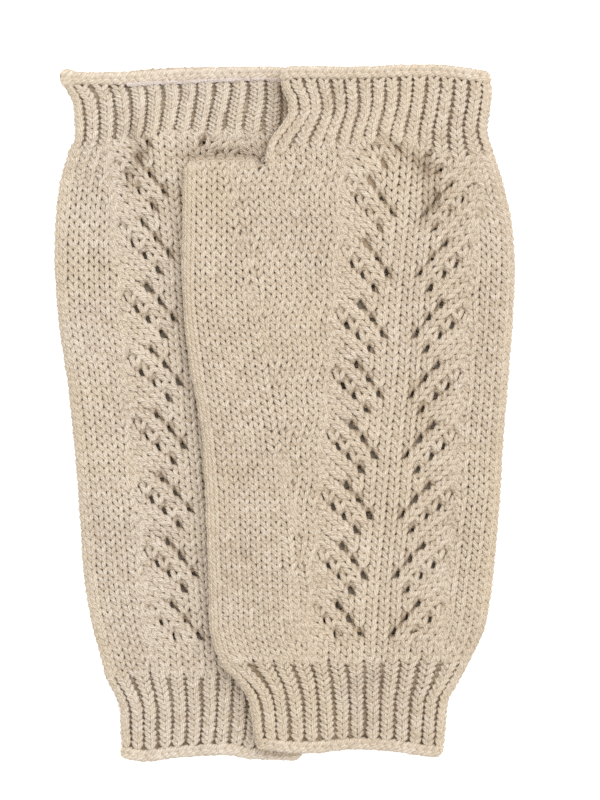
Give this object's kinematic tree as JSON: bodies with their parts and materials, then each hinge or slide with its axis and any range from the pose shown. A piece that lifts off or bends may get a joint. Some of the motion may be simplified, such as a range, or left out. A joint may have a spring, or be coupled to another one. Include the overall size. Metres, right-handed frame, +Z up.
{
  "type": "pair of fingerless knitted wool gloves",
  "caption": "Pair of fingerless knitted wool gloves laid flat and overlapping, with a leaf lace panel, thumb openings and ribbed cuffs with rolled edges.",
  "frame": {"origin": "middle of the pair's footprint, on the table that it lies on", "axes": "+X across the pair to the upper glove, +Y along the gloves from the wrists to the fingers, +Z up from the table"},
  "size_m": [0.1502, 0.2268, 0.0142],
  "materials": {
    "knit": "undyed beige wool, plain and lace knitting",
    "rib": "undyed beige wool, ribbed knitting",
    "edge": "undyed beige wool, rolled cast-off edge"
  },
  "bodies": {
    "root": {"over_body": "knit", "over_finger_cuff": "rib", "over_finger_rim": "edge", "over_thumb_rim": "edge", "over_wrist_cuff": "rib", "over_wrist_rim": "edge", "under_body": "knit", "under_finger_cuff": "rib", "under_finger_rim": "edge", "under_thumb_rim": "edge", "under_wrist_cuff": "rib", "under_wrist_rim": "edge"}
  },
  "joints": []
}
